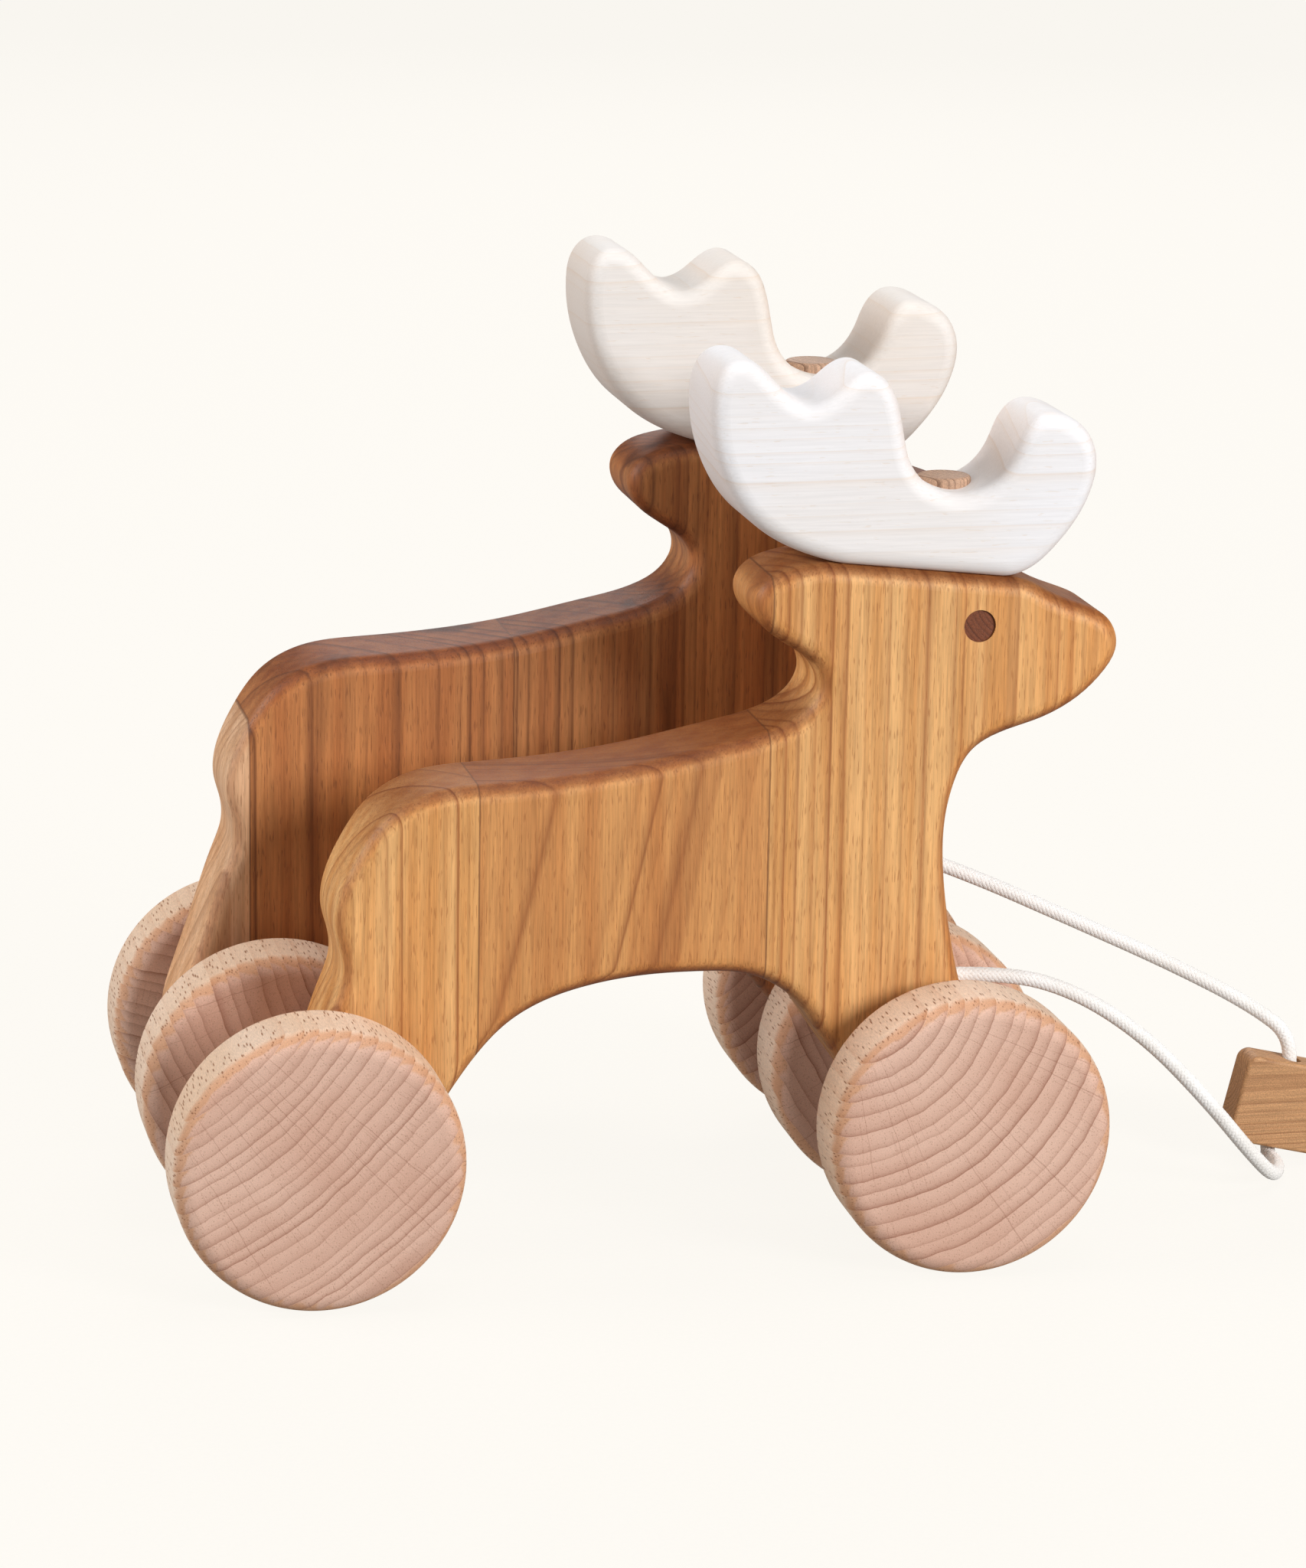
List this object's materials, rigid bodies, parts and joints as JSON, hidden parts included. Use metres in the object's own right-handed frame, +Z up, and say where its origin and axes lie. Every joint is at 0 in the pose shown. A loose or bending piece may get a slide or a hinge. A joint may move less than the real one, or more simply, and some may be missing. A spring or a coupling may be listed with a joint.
{
  "type": "pull-along toy",
  "caption": "Wooden pull-along toy: flat moose figures ride on eccentric pins between disc wheels and gallop as it is drawn by a cord with a wooden grip.",
  "frame": {"origin": "on the floor, midway between the front and rear wheel centres and in the mid-plane of the middle wheels", "axes": "+X the way the moose face, +Y to their left, +Z up"},
  "size_m": [0.2775, 0.1254, 0.2052],
  "materials": {
    "moose_wood": "oiled, long grain upright, darker burnished edges",
    "antler_wood": "smooth, unfinished pale maple",
    "wheel_wood": "smooth, end grain on the faces",
    "pin_wood": "smooth",
    "antler_dowel_wood": "oiled end grain",
    "eye_wood": "dark end grain",
    "grip_wood": "smooth",
    "cord": "braided cotton, matte"
  },
  "bodies": {
    "pull_line": {"pull_cord": "cord", "pull_grip": "grip_wood"},
    "front_wheelset": {"front_near_wheel": "wheel_wood", "front_middle_wheel": "wheel_wood", "front_far_wheel": "wheel_wood", "front_near_crank_pin": "pin_wood", "front_far_crank_pin": "pin_wood"},
    "rear_wheelset": {"rear_near_wheel": "wheel_wood", "rear_middle_wheel": "wheel_wood", "rear_far_wheel": "wheel_wood", "rear_near_crank_pin": "pin_wood", "rear_far_crank_pin": "pin_wood"},
    "near_moose": {"near_moose_rear_board": "moose_wood", "near_moose_middle_board": "moose_wood", "near_moose_front_board": "moose_wood", "near_moose_ear_tip": "moose_wood", "near_moose_antlers": "antler_wood", "near_moose_antler_dowel": "antler_dowel_wood", "near_moose_eye_dowel": "eye_wood"},
    "far_moose": {"far_moose_rear_board": "moose_wood", "far_moose_middle_board": "moose_wood", "far_moose_front_board": "moose_wood", "far_moose_antlers": "antler_wood", "far_moose_antler_dowel": "antler_dowel_wood", "far_moose_eye_dowel": "eye_wood"}
  },
  "joints": [
    {"name": "front_wheel_spin", "type": "hinge", "parent": "pull_line", "child": "front_wheelset", "pos_m": [0.06825, 0, 0.03], "axis": [0, 1, 0], "continuous": true, "deforming": ["pull_cord"]},
    {"name": "rear_wheel_spin", "type": "hinge", "parent": "pull_line", "child": "rear_wheelset", "pos_m": [-0.06825, 0, 0.03], "axis": [0, 1, 0], "continuous": true, "deforming": ["pull_cord"]},
    {"name": "near_moose_crank", "type": "hinge", "parent": "front_wheelset", "child": "near_moose", "pos_m": [0.07596, -0.0265, 0.02229], "axis": [0, 1, 0], "continuous": true, "deforming": ["pull_cord"]},
    {"name": "far_moose_crank", "type": "hinge", "parent": "front_wheelset", "child": "far_moose", "pos_m": [0.06054, 0.0265, 0.03771], "axis": [0, 1, 0], "continuous": true, "deforming": ["pull_cord"]}
  ],
  "couplings": [
    {"joint": "rear_wheel_spin", "follows": "front_wheel_spin", "ratio": 1},
    {"joint": "near_moose_crank", "follows": "front_wheel_spin", "ratio": -1},
    {"joint": "far_moose_crank", "follows": "front_wheel_spin", "ratio": -1}
  ]
}
